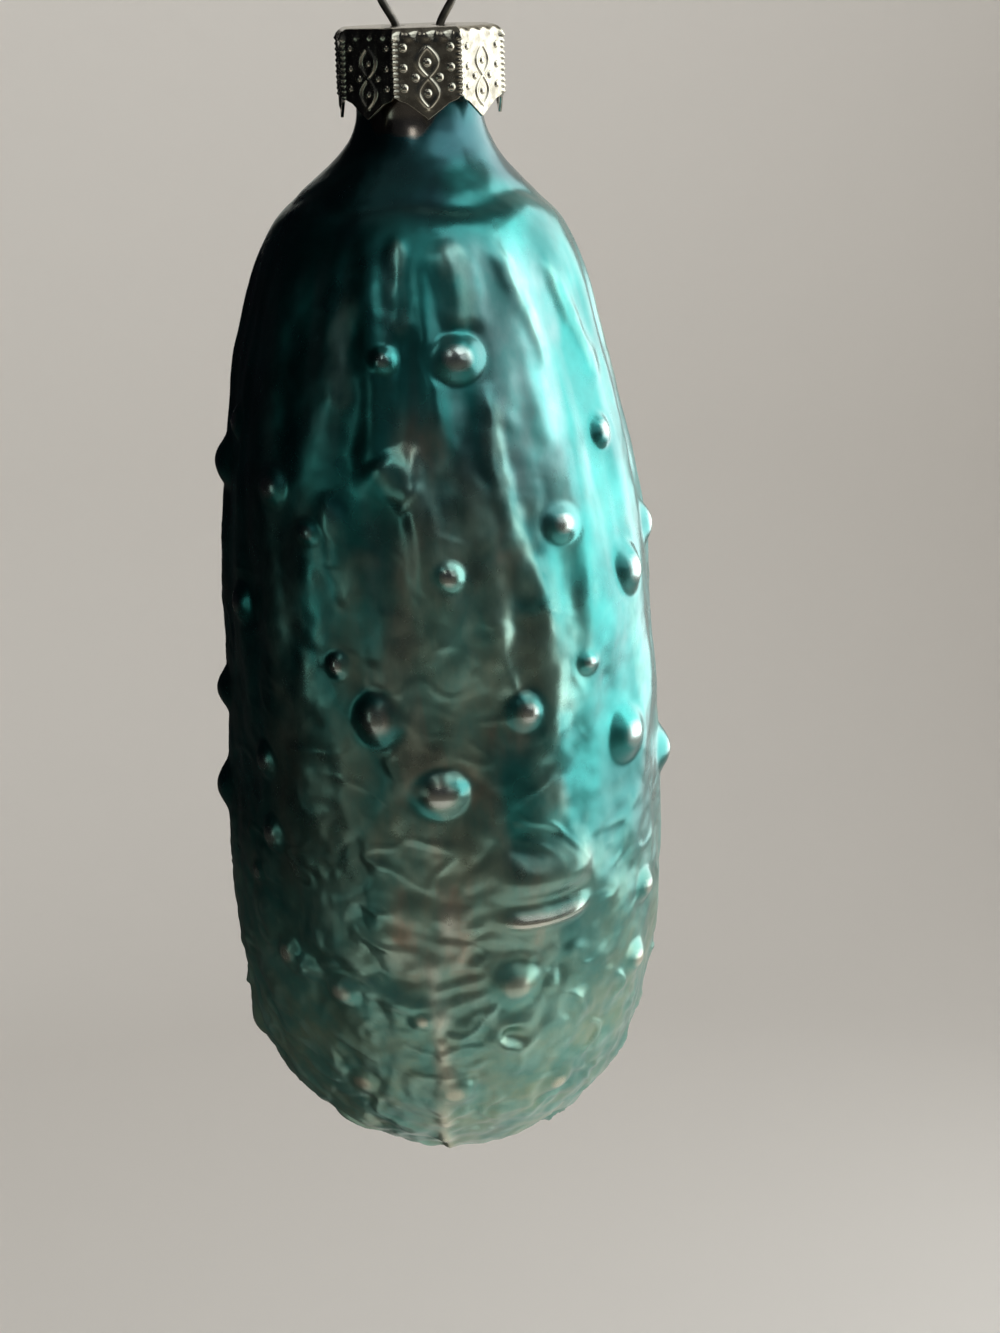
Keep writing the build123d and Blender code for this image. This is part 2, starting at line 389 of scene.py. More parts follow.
class GlassSurface:
    """The pickle's outline swept round, as flat arrays over rows and columns."""

    def __init__(self):
        neck = np.array([(NECK_RADIUS, 0.0), (NECK_RADIUS, NECK_LENGTH * 0.5)])
        curve = cubic_through(OUTLINE, (0.0, 1.0), (-1.0, 0.0), OUTLINE_POINTS)
        self.line, self.line_length = resample(np.vstack([neck, curve]), GLASS_ROWS)
        tangent = unit_rows(np.gradient(self.line, axis=0))
        self.line_out = np.stack([tangent[:, 1], -tangent[:, 0]], axis=1)
        turn = np.linspace(-math.pi, math.pi, GLASS_COLUMNS, endpoint=False)
        row = np.repeat(np.arange(GLASS_ROWS), GLASS_COLUMNS)
        self.angle = np.tile(turn, GLASS_ROWS)
        self.degrees = np.degrees(self.angle)
        self.radius = self.line[row, 0]
        self.depth = self.line[row, 1]
        self.along = self.line_length[row]
        self.out_radius = self.line_out[row, 0]
        self.out_depth = self.line_out[row, 1]
        self.rest = self.place(0.0)

    def place(self, height):
        """Points moved out along the outline's normal by height."""
        reach = self.radius + self.out_radius * height
        z = RIM_Z - self.depth - self.out_depth * height
        x = reach * np.sin(self.angle) + bow_at(self.depth)
        return np.stack([x, -reach * np.cos(self.angle), z], axis=1)

    def noise(self, pitch, seed):
        """Smooth noise over the plain surface, with one pitch or one for each axis."""
        return gradient_noise(self.rest / np.array(pitch), seed)

    def wrapped(self, turns, pitch, shift=0.0):
        """Places for noise that closes up round the body: turns round it, and pitch down it."""
        round_x, round_y = np.sin(self.angle), np.cos(self.angle)
        return np.stack([round_x * turns + shift, round_y * turns, self.along / pitch], axis=1)

    def at_share(self, share):
        """Length along the line for a share of the way down the outline."""
        return NECK_LENGTH + share * (self.line_length[-1] - NECK_LENGTH)

    def at_depth(self, depth):
        """Length along the line at a depth."""
        return np.interp(depth, self.line[:, 1], self.line_length)

    def offsets(self, angle_deg, along):
        """Each point's distance across and down from a place on the surface."""
        turn = (self.angle - math.radians(angle_deg) + math.pi) % (2.0 * math.pi) - math.pi
        radius = np.interp(along, self.line_length, self.line[:, 0])
        return turn * (0.5 * radius + 0.5 * self.radius), self.along - along

    def distance_to_route(self, route, waver=0.0):
        """Distance from a route of angles and depths, and the share of the way along it."""
        best = np.full(len(self.angle), np.inf)
        share = np.zeros(len(self.angle))
        spans = len(route) - 1
        for i in range(spans):
            (angle_a, depth_a), (angle_b, depth_b) = route[i], route[i + 1]
            along_a, along_b = self.at_depth(depth_a), self.at_depth(depth_b)
            across, down = self.offsets(angle_a, along_a)
            across = across + waver
            radius = np.interp(along_a, self.line_length, self.line[:, 0])
            step = np.array([math.radians(angle_b - angle_a) * radius, along_b - along_a])
            t = np.clip((across * step[0] + down * step[1]) / np.dot(step, step), 0.0, 1.0)
            gap = np.hypot(across - t * step[0], down - t * step[1])
            closer = gap < best
            best[closer] = gap[closer]
            share[closer] = (i + t[closer]) / spans
        return best, share


def wart_places():
    """Every wart as angle, share down the outline and base radius."""
    places = [(angle, share, size) for size, spots in FRONT_WARTS.items() for angle, share in spots]
    for number in range(BACK_WART_COUNT):
        angle = BACK_START + BACK_SWEEP * ((number * BACK_TURN) % 1.0)
        share = BACK_TOP + (BACK_BOTTOM - BACK_TOP) * number / (BACK_WART_COUNT - 1)
        places.append((angle, share, (SMALL, MEDIUM, LARGE)[number % 3]))
    return places


class FoldedGlass(GlassSurface):
    """The glass with its height over the plain outline, and the masks that its shapes bring.

    The masks are silver, where the lacquer is worn off, crest, where it is thin on a ridge,
    and foot, the ring round each wart where it stays thick.
    """

    def __init__(self):
        super().__init__()
        self.height, self.silver, self.crest, self.foot = np.zeros((4, len(self.angle)))
        depth = self.depth
        self.upper = smooth(14.0, 24.0, depth) * (1.0 - 0.8 * smooth(50.0, 78.0, depth))
        plain_side = band((28.0, 44.0), (90.0, 112.0), self.degrees) * smooth(86.0, 76.0, depth)
        self.lower = 0.3 * smooth(30.0, 50.0, depth) + 0.7 * smooth(58.0, 80.0, depth)
        self.lower *= 1.0 - 0.7 * plain_side
        self.tip_fade = smooth(0.0, 7.0, self.radius)
        drift = np.stack([self.noise(8.0, seed) for seed in (14, 15, 16)], axis=1)
        self.drifting = self.rest + PILLOW_DRIFT * drift
        self.add_long_folds()
        self.add_crumple()
        self.add_veins()
        self.add_collar()
        self.add_single_folds()
        self.add_front_seam()
        self.add_back_seam()
        self.add_lump()
        self.add_crater()
        self.add_warts()
        self.height *= smooth(6.5, 11.0, depth) * smooth(0.0, 2.5, self.radius)

    def show_crest(self, mask):
        self.crest = np.maximum(self.crest, mask)

    def show_silver(self, mask):
        self.silver = np.maximum(self.silver, mask)

    def add_long_folds(self):
        """Long soft folds down the upper half."""
        for turns, pitch, size, seed in LONG_FOLDS:
            wander = gradient_noise(self.wrapped(1.0, 26.0), seed + 20)
            fold = gradient_noise(self.wrapped(turns, pitch, wander * 1.2), seed)
            self.height += size * (fold - 0.12) * self.upper
            self.show_crest(smooth(0.14, 0.36, fold) * self.upper)

    def add_crumple(self):
        """Crumpled skin towards the tip, in pillows between soft creases."""
        for pitch, size, seed in PILLOWS:
            pillow = np.hypot(gradient_noise(self.drifting / pitch, seed), PILLOW_EDGE) - 0.2
            self.height += size * pillow * self.lower * self.tip_fade
            self.show_crest(0.8 * smooth(0.06, 0.2, pillow) * self.lower)
        self.height += GRAIN_HEIGHT * self.noise(1.5, 7) * (0.35 + self.lower) * self.tip_fade

    def add_veins(self):
        """Fine raised veins that run slantwise through the crumple and break off, and a ripple."""
        slant = self.drifting[:, [2]] * np.array(VEIN_SLANT)
        field = gradient_noise((self.drifting + slant) / np.array(VEIN_PITCH), 23)
        broken = smooth(-0.12, 0.22, self.noise(3.6, 24))
        vein = bell(field, 0.055) * broken * self.lower * self.tip_fade
        self.height += VEIN_HEIGHT * vein
        self.show_crest(vein)
        ripple = self.noise(RIPPLE_PITCH, 13) * smooth(16.0, 30.0, self.depth)
        self.height += RIPPLE_HEIGHT * ripple * self.tip_fade

    def add_collar(self):
        """Crease where the neck's flare meets the body, clearest at the front right."""
        wobble = gradient_noise(self.wrapped(1.6, math.inf), 8)
        below = self.along - self.at_depth(COLLAR_DEPTH) - COLLAR_WANDER * wobble
        clear = 0.35 + 0.65 * bell(self.angle - 0.5, 0.8)
        self.height -= COLLAR_GROOVE * clear * bell(below, 1.1)
        self.height += COLLAR_LIP * clear * bell(below - COLLAR_LIP_BELOW, 1.4)

    def add_single_folds(self):
        """Folds drawn one by one, with frayed sides and tapered ends."""
        fray = self.noise(2.2, 12)
        for route, width, rise in FOLDS:
            gap, share = self.distance_to_route(route)
            taper = smooth(-0.05, 0.2, share) * smooth(-0.05, 0.2, 1.0 - share)
            ridge = bell(gap + 0.5 * width * fray, width) * taper
            self.height += rise * ridge
            self.show_crest(0.8 * smooth(0.35, 0.95, ridge))

    def add_front_seam(self):
        """Worn mould seam at the front, with short rungs beside it."""
        waver = SEAM_WAVER * self.noise((90.0, 90.0, 4.4), 9)
        gap, share = self.distance_to_route(SEAM, waver)
        broken = smooth(-0.35, 0.25, self.noise(1.9, 18))
        seam = bell(gap, SEAM_WIDTH) * self.tip_fade * smooth(0.0, 0.2, share) * (0.25 + 0.75 * broken)
        self.height += SEAM_HEIGHT * seam
        self.show_silver(0.8 * seam)
        across, down = self.offsets(RUNG_ANGLE, self.at_depth(RUNG_DEPTH))
        bend = 2.2 * self.noise(3.4, 10)
        zone = bell(across - RUNG_ASIDE, RUNG_REACH, 4) * bell(down, RUNG_RUN, 4)
        rung = np.cos(2.0 * math.pi * (down + 0.25 * across + bend) / RUNG_PITCH)
        self.height += RUNG_HEIGHT * rung * zone
        self.show_crest(np.maximum(seam, 0.75 * smooth(0.2, 0.95, rung) * zone))

    def add_back_seam(self):
        """Faint mould seam at the back."""
        gap, _ = self.distance_to_route(BACK_SEAM)
        seam = bell(gap, BACK_SEAM_WIDTH) * self.tip_fade
        self.height += BACK_SEAM_HEIGHT * seam
        self.show_crest(0.6 * seam)

    def add_lump(self):
        """Broad flattened lump over a thin worn shelf, with calm skin between them."""
        across, down = self.offsets(LUMP_ANGLE, self.at_depth(LUMP_DEPTH))
        down = down + 0.04 * across + 0.03 * across**2
        lump = band((-4.5, -0.5), (0.6, 2.2), down) * bell(across, LUMP_HALF_WIDTH, 6)
        self.height = self.height * (1.0 - 0.9 * lump) + lump
        calm = bell(down - CALM_BELOW, CALM_HALF_HEIGHT, 4) * bell(across, CALM_HALF_WIDTH, 6)
        self.height *= 1.0 - 0.9 * calm
        self.crest *= 1.0 - 0.9 * calm
        drop = down - SHELF_BELOW
        edge = np.where(drop < 0.0, SHELF_ABOVE_EDGE, SHELF_BELOW_EDGE)
        shelf = bell(drop, edge) * bell(across, SHELF_HALF_WIDTH, 6)
        self.height += SHELF_HEIGHT * shelf
        self.show_silver(0.9 * smooth(0.3, 0.9, shelf))

    def add_crater(self):
        """Small crater with a ragged rim, higher on its lower side."""
        across, down = self.offsets(CRATER_ANGLE, self.at_share(CRATER_SHARE))
        gap = np.hypot(across, down * 1.2) + 0.8 * self.noise(1.6, 17)
        rim = bell(gap - CRATER_RADIUS, 0.65) * (0.6 + 0.4 * smooth(-1.0, 1.0, down))
        self.height += CRATER_RIM * rim - CRATER_SINK * bell(gap, 1.0)
        self.show_crest(0.8 * rim)

    def add_warts(self):
        """Rounded beads that run out softly into the skin, flatter towards the tip."""
        draw = np.random.default_rng(11)
        for angle, share, size in wart_places():
            grow, stretch = draw.uniform(0.92, 1.06), draw.uniform(0.92, 1.08)
            across, down = self.offsets(angle, self.at_share(share))
            reach = np.hypot(across * stretch, down / stretch) / (size * grow)
            dome = np.clip(1.0 - reach**2 / 1.25, 0.0, 1.0) ** 1.6
            inside = smooth(1.3, 0.6, reach)
            rise = size * WART_HEIGHT_SHARE * (1.0 - 0.4 * smooth(0.70, 0.80, share))
            level = self.height[np.argmin(reach)]
            self.height = self.height + 0.92 * inside * (level - self.height) + rise * dome
            self.show_silver(0.85 * smooth(0.6, 1.0, dome))
            self.crest *= 1.0 - 0.7 * inside
            self.foot = np.maximum(self.foot, band((0.35, 0.75), (1.0, 1.35), reach))


class LacqueredGlass(FoldedGlass):
    """The glass with masks of the lacquer over it and of light and shade painted into it, 0 where each
    has no effect.
    """

    def __init__(self):
        super().__init__()
        self.edge_wave = self.noise((4.0, 4.0, 8.0), 31)
        self.patches = self.noise((8.0, 8.0, 11.0), 35) + 0.25 * self.noise(2.6, 37)

    def patch(self, angle_rise, angle_fall, depth_rise, depth_fall, strength):
        """A patch with soft edges and wavy sides."""
        waved = self.degrees + 10.0 * self.edge_wave
        sides = band(angle_rise, angle_fall, waved)
        return strength * sides * band(depth_rise, depth_fall, self.depth)

    def thin(self):
        """Painted reflection of a brown room down the middle of the front and on the lump, and scattered
        patches where the lacquer is thin.
        """
        depth = self.depth
        half_width = np.interp(depth, *THIN_HALF_WIDTH)
        within = half_width - np.abs(self.degrees - THIN_MIDDLE) + 26.0 * self.edge_wave
        thin = smooth(-7.0, 11.0, within) * smooth(27.0, 33.0, depth)
        thin *= 1.0 - 0.75 * smooth(74.0, 84.0, depth)
        scattered = smooth(0.12, 0.30, self.patches) * smooth(30.0, 44.0, depth)
        scattered *= 1.0 - 0.6 * smooth(74.0, 88.0, depth)
        scattered *= 1.0 - 0.85 * band((24.0, 36.0), (80.0, 100.0), self.degrees)
        across, down = self.offsets(LUMP_ANGLE, self.at_depth(THIN_LUMP_DEPTH))
        on_lump = bell(across, 4.8, 4) * bell(down, 2.9, 4)
        for mask in (0.8 * scattered, 0.75 * on_lump, self.patch(*THIN_PATCH)):
            thin = np.maximum(thin, mask)
        ragged = smooth(-0.2, 0.25, self.noise(1.7, 38))
        return thin * (1.0 - self.foot * (0.45 + 0.45 * ragged))

    def streak(self):
        """Painted sheen: faint pale streaks down the upper half, and a hazy patch of painted reflection
        on its right.
        """
        depth = self.depth
        lines = self.wrapped(9.0, 22.0)
        streak = smooth(-0.05, 0.35, gradient_noise(lines, 34)) * band((16.0, 20.0), (34.0, 58.0), depth)
        from_left = self.degrees - np.interp(depth, *HAZE_LEFT)
        from_right = np.interp(depth, *HAZE_RIGHT) - self.degrees
        within = np.minimum(from_left, from_right) + 14.0 * self.edge_wave
        hazy = smooth(-2.0, 5.0, within) * band((15.0, 19.0), (32.0, 44.0), depth)
        hazy *= 0.65 + 0.35 * smooth(-0.2, 0.25, gradient_noise(lines, 36))
        return np.maximum(0.5 * streak, hazy)

    def pool(self):
        """Where the lacquer has pooled and is dark, and the patches of painted shade on the front and
        right.
        """
        pool = smooth(0.0, 0.4, self.noise(9.0, 32))
        rim_of_patches = bell(self.patches - 0.1, 0.05) * smooth(40.0, 56.0, self.depth)
        for mask in [rim_of_patches] + [self.patch(*zone) for zone in POOLED_PATCHES]:
            pool = np.maximum(pool, mask)
        return pool

    def bare(self):
        """Bare silver on the neck, down to a ragged edge."""
        edge_wave = 0.9 * self.noise(1.6, 33)
        dip = BARE_DIP * bell(self.degrees - BARE_DIP_ANGLE, BARE_DIP_WIDTH, 4)
        return smooth(0.25, -0.25, self.depth - BARE_DEPTH - dip - edge_wave)

    def neck(self):
        """Painted shade on the neck and shoulder, which ends higher on the right, where the light falls.
        """
        right = band((8.0, 28.0), (80.0, 110.0), self.degrees)
        return smooth(17.5, 12.5, self.depth + 4.0 * self.edge_wave + 3.2 * right)

    def masks(self):
        """Every mask by the name of its point attribute."""
        # Paler towards the tip: partly a paler patina, partly painted light that lightens the lower part
        pale = smooth(62.0, 90.0, self.depth)
        return {
            "silver": self.silver, "crest": self.crest, "thin": self.thin(), "streak": self.streak(),
            "pool": self.pool(), "bare": self.bare(), "pale": pale, "neck": self.neck(),
        }


def make_glass():
    """The blown pickle as one closed shell: outer skin, rim and inner skin."""
    glass = LacqueredGlass()
    columns = GLASS_COLUMNS
    outer = inside_cad_box(glass.place(glass.height)[:-columns])
    wall = np.interp(glass.line[:, 1], FOLDED_DEPTHS, [GLASS_WALL, FOLDED_WALL])[:, None]
    inner_line, _ = resample(glass.line - glass.line_out * wall, INNER_ROWS)
    inner_line[0, 1] = 0.0
    turn = glass.angle[:columns]
    inner = [
        np.stack([r * np.sin(turn) + bow_at(d), -r * np.cos(turn), np.full(columns, RIM_Z - d)], axis=1)
        for r, d in inner_line[:-1]
    ]
    poles = [[0.0, 0.0, RIM_Z - glass.line[-1, 1]], [0.0, 0.0, RIM_Z - inner_line[-1, 1]]]
    points = np.vstack([outer, *inner, poles])
    inner_values = {"silver": 1.0, "bare": 1.0}
    spare = len(points) - len(outer)
    attributes = {
        title: np.concatenate([values[:-columns], np.full(spare, inner_values.get(title, 0.0))])
        for title, values in glass.masks().items()
    }
    return mesh_piece("glass_pickle_skin", points, shell_faces(columns), attributes)


def shell_faces(columns):
    """Faces of the glass: rows of the outer skin and the inner skin, the rim, and both tips."""
    outer_rows, inner_rows = GLASS_ROWS - 1, INNER_ROWS - 1
    inner_first = outer_rows * columns
    outer_pole = inner_first + inner_rows * columns
    faces = tube_faces(outer_rows, columns) + tube_faces(inner_rows, columns, inner_first, flip=True)
    faces += ring_faces(0, inner_first, columns, flip=True)
    for i in range(columns):
        j = (i + 1) % columns
        last = inner_first - columns
        faces.append((last + i, outer_pole, last + j))
        last = outer_pole - columns
        faces.append((last + j, outer_pole + 1, last + i))
    return faces


def facet_relief(x, y):
    """Stamped pattern of a facet: a braid of two almonds with dots."""
    strand = BRAID_REACH * np.sin(math.pi * (y - BRAID_TOP) / BRAID_PITCH)
    braid = bell(np.abs(x) - np.abs(strand), BRAID_WIDTH) * band((1.3, 1.7), (6.35, 6.75), y)
    relief = BRAID_HEIGHT * braid
    for dot_x, dot_y in DOTS:
        gap = np.hypot(x - dot_x, y - dot_y)
        dot = np.clip(1.0 - (gap / DOT_RADIUS) ** 2, 0.0, 1.0) ** 0.6
        relief = np.maximum(relief, DOT_HEIGHT * dot)
    return relief


def cap_rows():
    """Rows of the cap's skin from the middle of its top: inset from the skirt, drop, skirt share."""
    flat = CAP_APOTHEM - CAP_SHOULDER
    rows = [(CAP_APOTHEM - flat * share, 0.0, 0.0) for share in np.linspace(0.03, 1.0, TOP_ROWS + 1)[:-1]]
    for turn in np.linspace(0.0, math.pi / 2.0, SHOULDER_ROWS):
        rows.append((CAP_SHOULDER * (1.0 - math.sin(turn)), CAP_SHOULDER * (1.0 - math.cos(turn)), 0.0))
    rows += [(0.0, CAP_SHOULDER, share) for share in np.linspace(0.0, 1.0, SKIRT_ROWS + 1)[1:]]
    return rows


def flat_direction(angle):
    """Unit vectors in the XY plane at the given angles."""
    return np.stack([np.cos(angle), np.sin(angle)], axis=1)


def cap_skin(rows):
    """Points of the stamped skin row by row, and how far each stands out of the stamping."""
    draw = np.random.default_rng(21)
    slope = math.tan(math.pi / CAP_SIDES)
    column = np.arange(CAP_SIDES * FACET_COLUMNS)
    facet = column // FACET_COLUMNS
    across = (column % FACET_COLUMNS) / FACET_COLUMNS * 2.0 - 1.0
    facet_angle = np.radians(CAP_TURN + facet * 360.0 / CAP_SIDES)
    normal, side = flat_direction(facet_angle), flat_direction(facet_angle + 0.5 * math.pi)
    corner = flat_direction(facet_angle + np.sign(across) * math.pi / CAP_SIDES)
    foot = np.interp(np.abs(across), *np.array(CAP_EDGE).T)
    lean = draw.uniform(*TAB_LEAN, CAP_SIDES)[facet]
    points, relief_rows = [], []
    for inset, drop, share in rows:
        reach = CAP_APOTHEM - inset
        x = across * reach * slope
        y = drop + share * (foot - CAP_SHOULDER)
        corner_gap = (1.0 - np.abs(across)) * reach * slope
        near_corner = bell(corner_gap, 0.45)[:, None]
        push = unit_rows(normal * (1.0 - near_corner) + corner * near_corner)
        on_skirt = smooth(0.15, 0.75, drop) * smooth(0.0, 0.06, share + 0.03)
        stamped = facet_relief(x, y) * on_skirt * smooth(0.25, 0.6, corner_gap)
        beads = RIB_HEIGHT + BEAD_HEIGHT * np.cos(2.0 * math.pi * y / BEAD_PITCH)
        rib = beads * bell(corner_gap, RIB_WIDTH) * smooth(0.35, 0.8, y)
        scallop = SCALLOP_HEIGHT * np.cos(2.0 * math.pi * x / SCALLOP_PITCH)
        scallop *= band((0.02, 0.5), (0.8, 1.25), y) if inset < CAP_SHOULDER else 0.0
        bend = lean * smooth(3.5, 7.3, y) * (1.0 - across**2)
        height = stamped + rib + scallop
        flat_xy = normal * reach + side * x[:, None]
        flat_xy = flat_xy + push * height[:, None] + normal * bend[:, None]
        points.append(np.column_stack([flat_xy, CAP_TOP_Z - y]))
        relief_rows.append(stamped / 0.15 + rib / 0.2 + 0.5 * scallop / SCALLOP_HEIGHT)
    points = np.vstack(points)
    points += gradient_noise(points / 1.9, 22)[:, None] * np.array(DENT_HEIGHTS)
    points[:, 2] = np.minimum(points[:, 2], CAP_TOP_Z)
    return points, np.concatenate(relief_rows)


def make_cap():
    """The stamped cap: octagonal cup with embossed facets, beaded ribs and pointed lower edge."""
    rows = cap_rows()
    points, relief = cap_skin(rows)
    columns = CAP_SIDES * FACET_COLUMNS
    faces = tube_faces(len(rows), columns) + [tuple(range(columns))]
    piece = mesh_piece("cap_stamping", points, faces, {"relief": relief})
    solidify = piece.modifiers.new("sheet", "SOLIDIFY")
    solidify.thickness = SHEET * MM
    solidify.offset = -1.0
    cutters = [slot_cutter(sign) for sign in (-1.0, 1.0)]
    for cutter in cutters:
        cut = piece.modifiers.new("slot", "BOOLEAN")
        cut.operation = "DIFFERENCE"
        cut.solver = "EXACT"
        cut.object = cutter
    apply_modifiers(piece)
    for cutter in cutters:
        bpy.data.objects.remove(cutter)
    return piece


def slot_cutter(sign):
    """A round-ended bar that cuts one of the two slots for the hanger's legs."""
    half = 0.5 * SLOT_WIDTH
    outline = []
    for centre, start in ((SLOT_END - half, -90.0), (SLOT_START + half, 90.0)):
        for turn in np.radians(np.linspace(start, start + 180.0, 13)):
            outline.append((sign * (centre + half * math.cos(turn)), half * math.sin(turn)))
    count = len(outline)
    points = [(x, y, CAP_TOP_Z + lift) for lift in (-1.0, 1.0) for x, y in outline]
    faces = [tuple(range(count))[::-1], tuple(range(count, 2 * count))]
    faces += ring_faces(count, 0, count, flip=True)
    cutter = mesh_piece("slot_cutter", points, faces)
    work = bmesh.new()
    work.from_mesh(cutter.data)
    bmesh.ops.recalc_face_normals(work, faces=work.faces)
    work.to_mesh(cutter.data)
    work.free()
    return cutter


def apply_modifiers(piece):
    """Replaces a piece's mesh by what its modifiers make of it."""
    bpy.context.view_layer.update()
    graph = bpy.context.evaluated_depsgraph_get()
    made = bpy.data.meshes.new_from_object(piece.evaluated_get(graph))
    piece.modifiers.clear()
    piece.data = made


def wire_route():
    """Centre line of the hanger wire in the XZ plane, from one leg's end to the other's."""
    loop_z = WIRE_RADIUS - LOOP_RADIUS
    pinch_z = loop_z - (LOOP_RADIUS - LEG_OFFSET * math.cos(LOOP_LEAN)) / math.sin(LOOP_LEAN)
    pinch = Vector((LEG_OFFSET, pinch_z))
    end_z = LEG_END_Z + WIRE_RADIUS * math.sin(math.atan2(LEG_END_OFFSET - LEG_OFFSET, LEG_DROP))
    leg_end = Vector((LEG_END_OFFSET, end_z))

    def on_loop(angle):
        return Vector((LOOP_RADIUS * math.cos(angle), loop_z + LOOP_RADIUS * math.sin(angle)))

    top = on_loop(-LOOP_LEAN)
    down, up = (leg_end - pinch).normalized(), (top - pinch).normalized()
    half_turn = 0.5 * down.angle(up)
    run = LEG_BEND_RADIUS / math.tan(half_turn)
    centre = pinch + (down + up).normalized() * (LEG_BEND_RADIUS / math.sin(half_turn))
    start, finish = pinch + down * run - centre, pinch + up * run - centre
    bend = [centre + start.slerp(finish, share) for share in np.linspace(0.0, 1.0, 15)]
    right = [leg_end.lerp(bend[0], share) for share in np.linspace(0.0, 1.0, 40)[:-1]] + bend
    for share in np.linspace(0.0, 1.0, 24)[1:-1]:
        swell = LOOP_SWELL * math.sin(math.pi * share) ** 2
        right.append(bend[-1].lerp(top, share) + Vector((swell, 0.0)))
    right += [on_loop(angle) for angle in np.linspace(-LOOP_LEAN, 0.5 * math.pi, 70)]
    left = [Vector((-point.x, point.y)) for point in reversed(right[:-1])]
    return np.array([(point.x, 0.0, point.y) for point in right + left])


def make_hanger():
    """The bent hanger wire as a round tube with rounded cut ends."""
    route = wire_route()
    tangent = unit_rows(np.gradient(route, axis=0))
    across = np.stack([tangent[:, 2], np.zeros(len(route)), -tangent[:, 0]], axis=1)
    turn = np.linspace(0.0, 2.0 * math.pi, WIRE_COLUMNS, endpoint=False)
    size = np.ones(len(route))
    size[[0, -1]], size[[1, -2]] = 0.72, 0.94
    size *= 1.0 - 0.012 * (1.0 + gradient_noise(route / 1.4, 41))
    rings = []
    for point, sideways, share in zip(route, across, size):
        ring = np.outer(np.cos(turn), sideways) + np.outer(np.sin(turn), (0.0, 1.0, 0.0))
        rings.append(point + WIRE_RADIUS * share * ring)
    faces = tube_faces(len(route), WIRE_COLUMNS)
    last = (len(route) - 1) * WIRE_COLUMNS
    faces += [tuple(range(WIRE_COLUMNS)), tuple(range(last, last + WIRE_COLUMNS))[::-1]]
    return mesh_piece("hanger_wire", inside_cad_box(np.vstack(rings)), faces)


class Nodes:
    """A material's node tree with short calls for what the finishes below need."""

    def __init__(self, name):
        self.material = bpy.data.materials.new(name)
        self.material.use_nodes = True
        self.tree = self.material.node_tree
        self.shader = self.tree.nodes["Principled BSDF"]
        self.coordinates = self.add("ShaderNodeTexCoord").outputs["Object"]

    def add(self, kind, **values):
        node = self.tree.nodes.new(kind)
        for name, value in values.items():
            setattr(node, name, value)
        return node

    def link(self, source, target):
        self.tree.links.new(source, target)

    def give(self, socket, value):
        """Gives an input a number, a colour or another socket's value."""
        if isinstance(value, (int, float)):
            socket.default_value = value
        elif isinstance(value, tuple):
            socket.default_value = (*value, 1.0)
        else:
            self.link(value, socket)

    def set(self, name, value):
        self.give(self.shader.inputs[name], value)

    def attribute(self, name):
        return self.add("ShaderNodeAttribute", attribute_name=name).outputs["Fac"]

    def noise(self, scale, detail, upright=1.0):
        """Noise over the object, with its scale per metre and the share of it up and down."""
        spread = self.add("ShaderNodeMapping")
        spread.inputs["Scale"].default_value = (1.0, 1.0, upright)
        self.link(self.coordinates, spread.inputs["Vector"])
        node = self.add("ShaderNodeTexNoise")
        node.inputs["Scale"].default_value = scale
        node.inputs["Detail"].default_value = detail
        self.link(spread.outputs["Vector"], node.inputs["Vector"])
        return node.outputs["Fac"]

    def ramp(self, value, low, high, start=0.0, end=1.0):
        """Maps low to start and high to end, and holds the value at both."""
        node = self.add("ShaderNodeMapRange", clamp=True)
        for name, number in (("From Min", low), ("From Max", high), ("To Min", start), ("To Max", end)):
            node.inputs[name].default_value = number
        self.link(value, node.inputs["Value"])
        return node.outputs["Result"]

    def math(self, operation, first, second):
        """Sum, product or the like. Each side is a number or a socket."""
        node = self.add("ShaderNodeMath", operation=operation)
        self.give(node.inputs[0], first)
        self.give(node.inputs[1], second)
        return node.outputs["Value"]

    def mix(self, factor, first, second):
        """Colour mix by a socket's value. Each side is a colour or a socket."""
        node = self.add("ShaderNodeMix", data_type="RGBA")
        self.link(factor, node.inputs["Factor"])
        colours = [socket for socket in node.inputs if socket.type == "RGBA"]
        for socket, value in zip(colours, (first, second)):
            self.give(socket, value)
        return [socket for socket in node.outputs if socket.type == "RGBA"][0]

    def masked(self, name, value, start, end, high=1.0):
        """A point attribute times a value that is mapped to a range."""
        return self.math("MULTIPLY", self.attribute(name), self.ramp(value, 0.0, high, start, end))

    def bump(self, height, strength, distance_mm):
        node = self.add("ShaderNodeBump")
        node.inputs["Strength"].default_value = strength
        node.inputs["Distance"].default_value = distance_mm * MM
        self.link(height, node.inputs["Height"])
        self.set("Normal", node.outputs["Normal"])


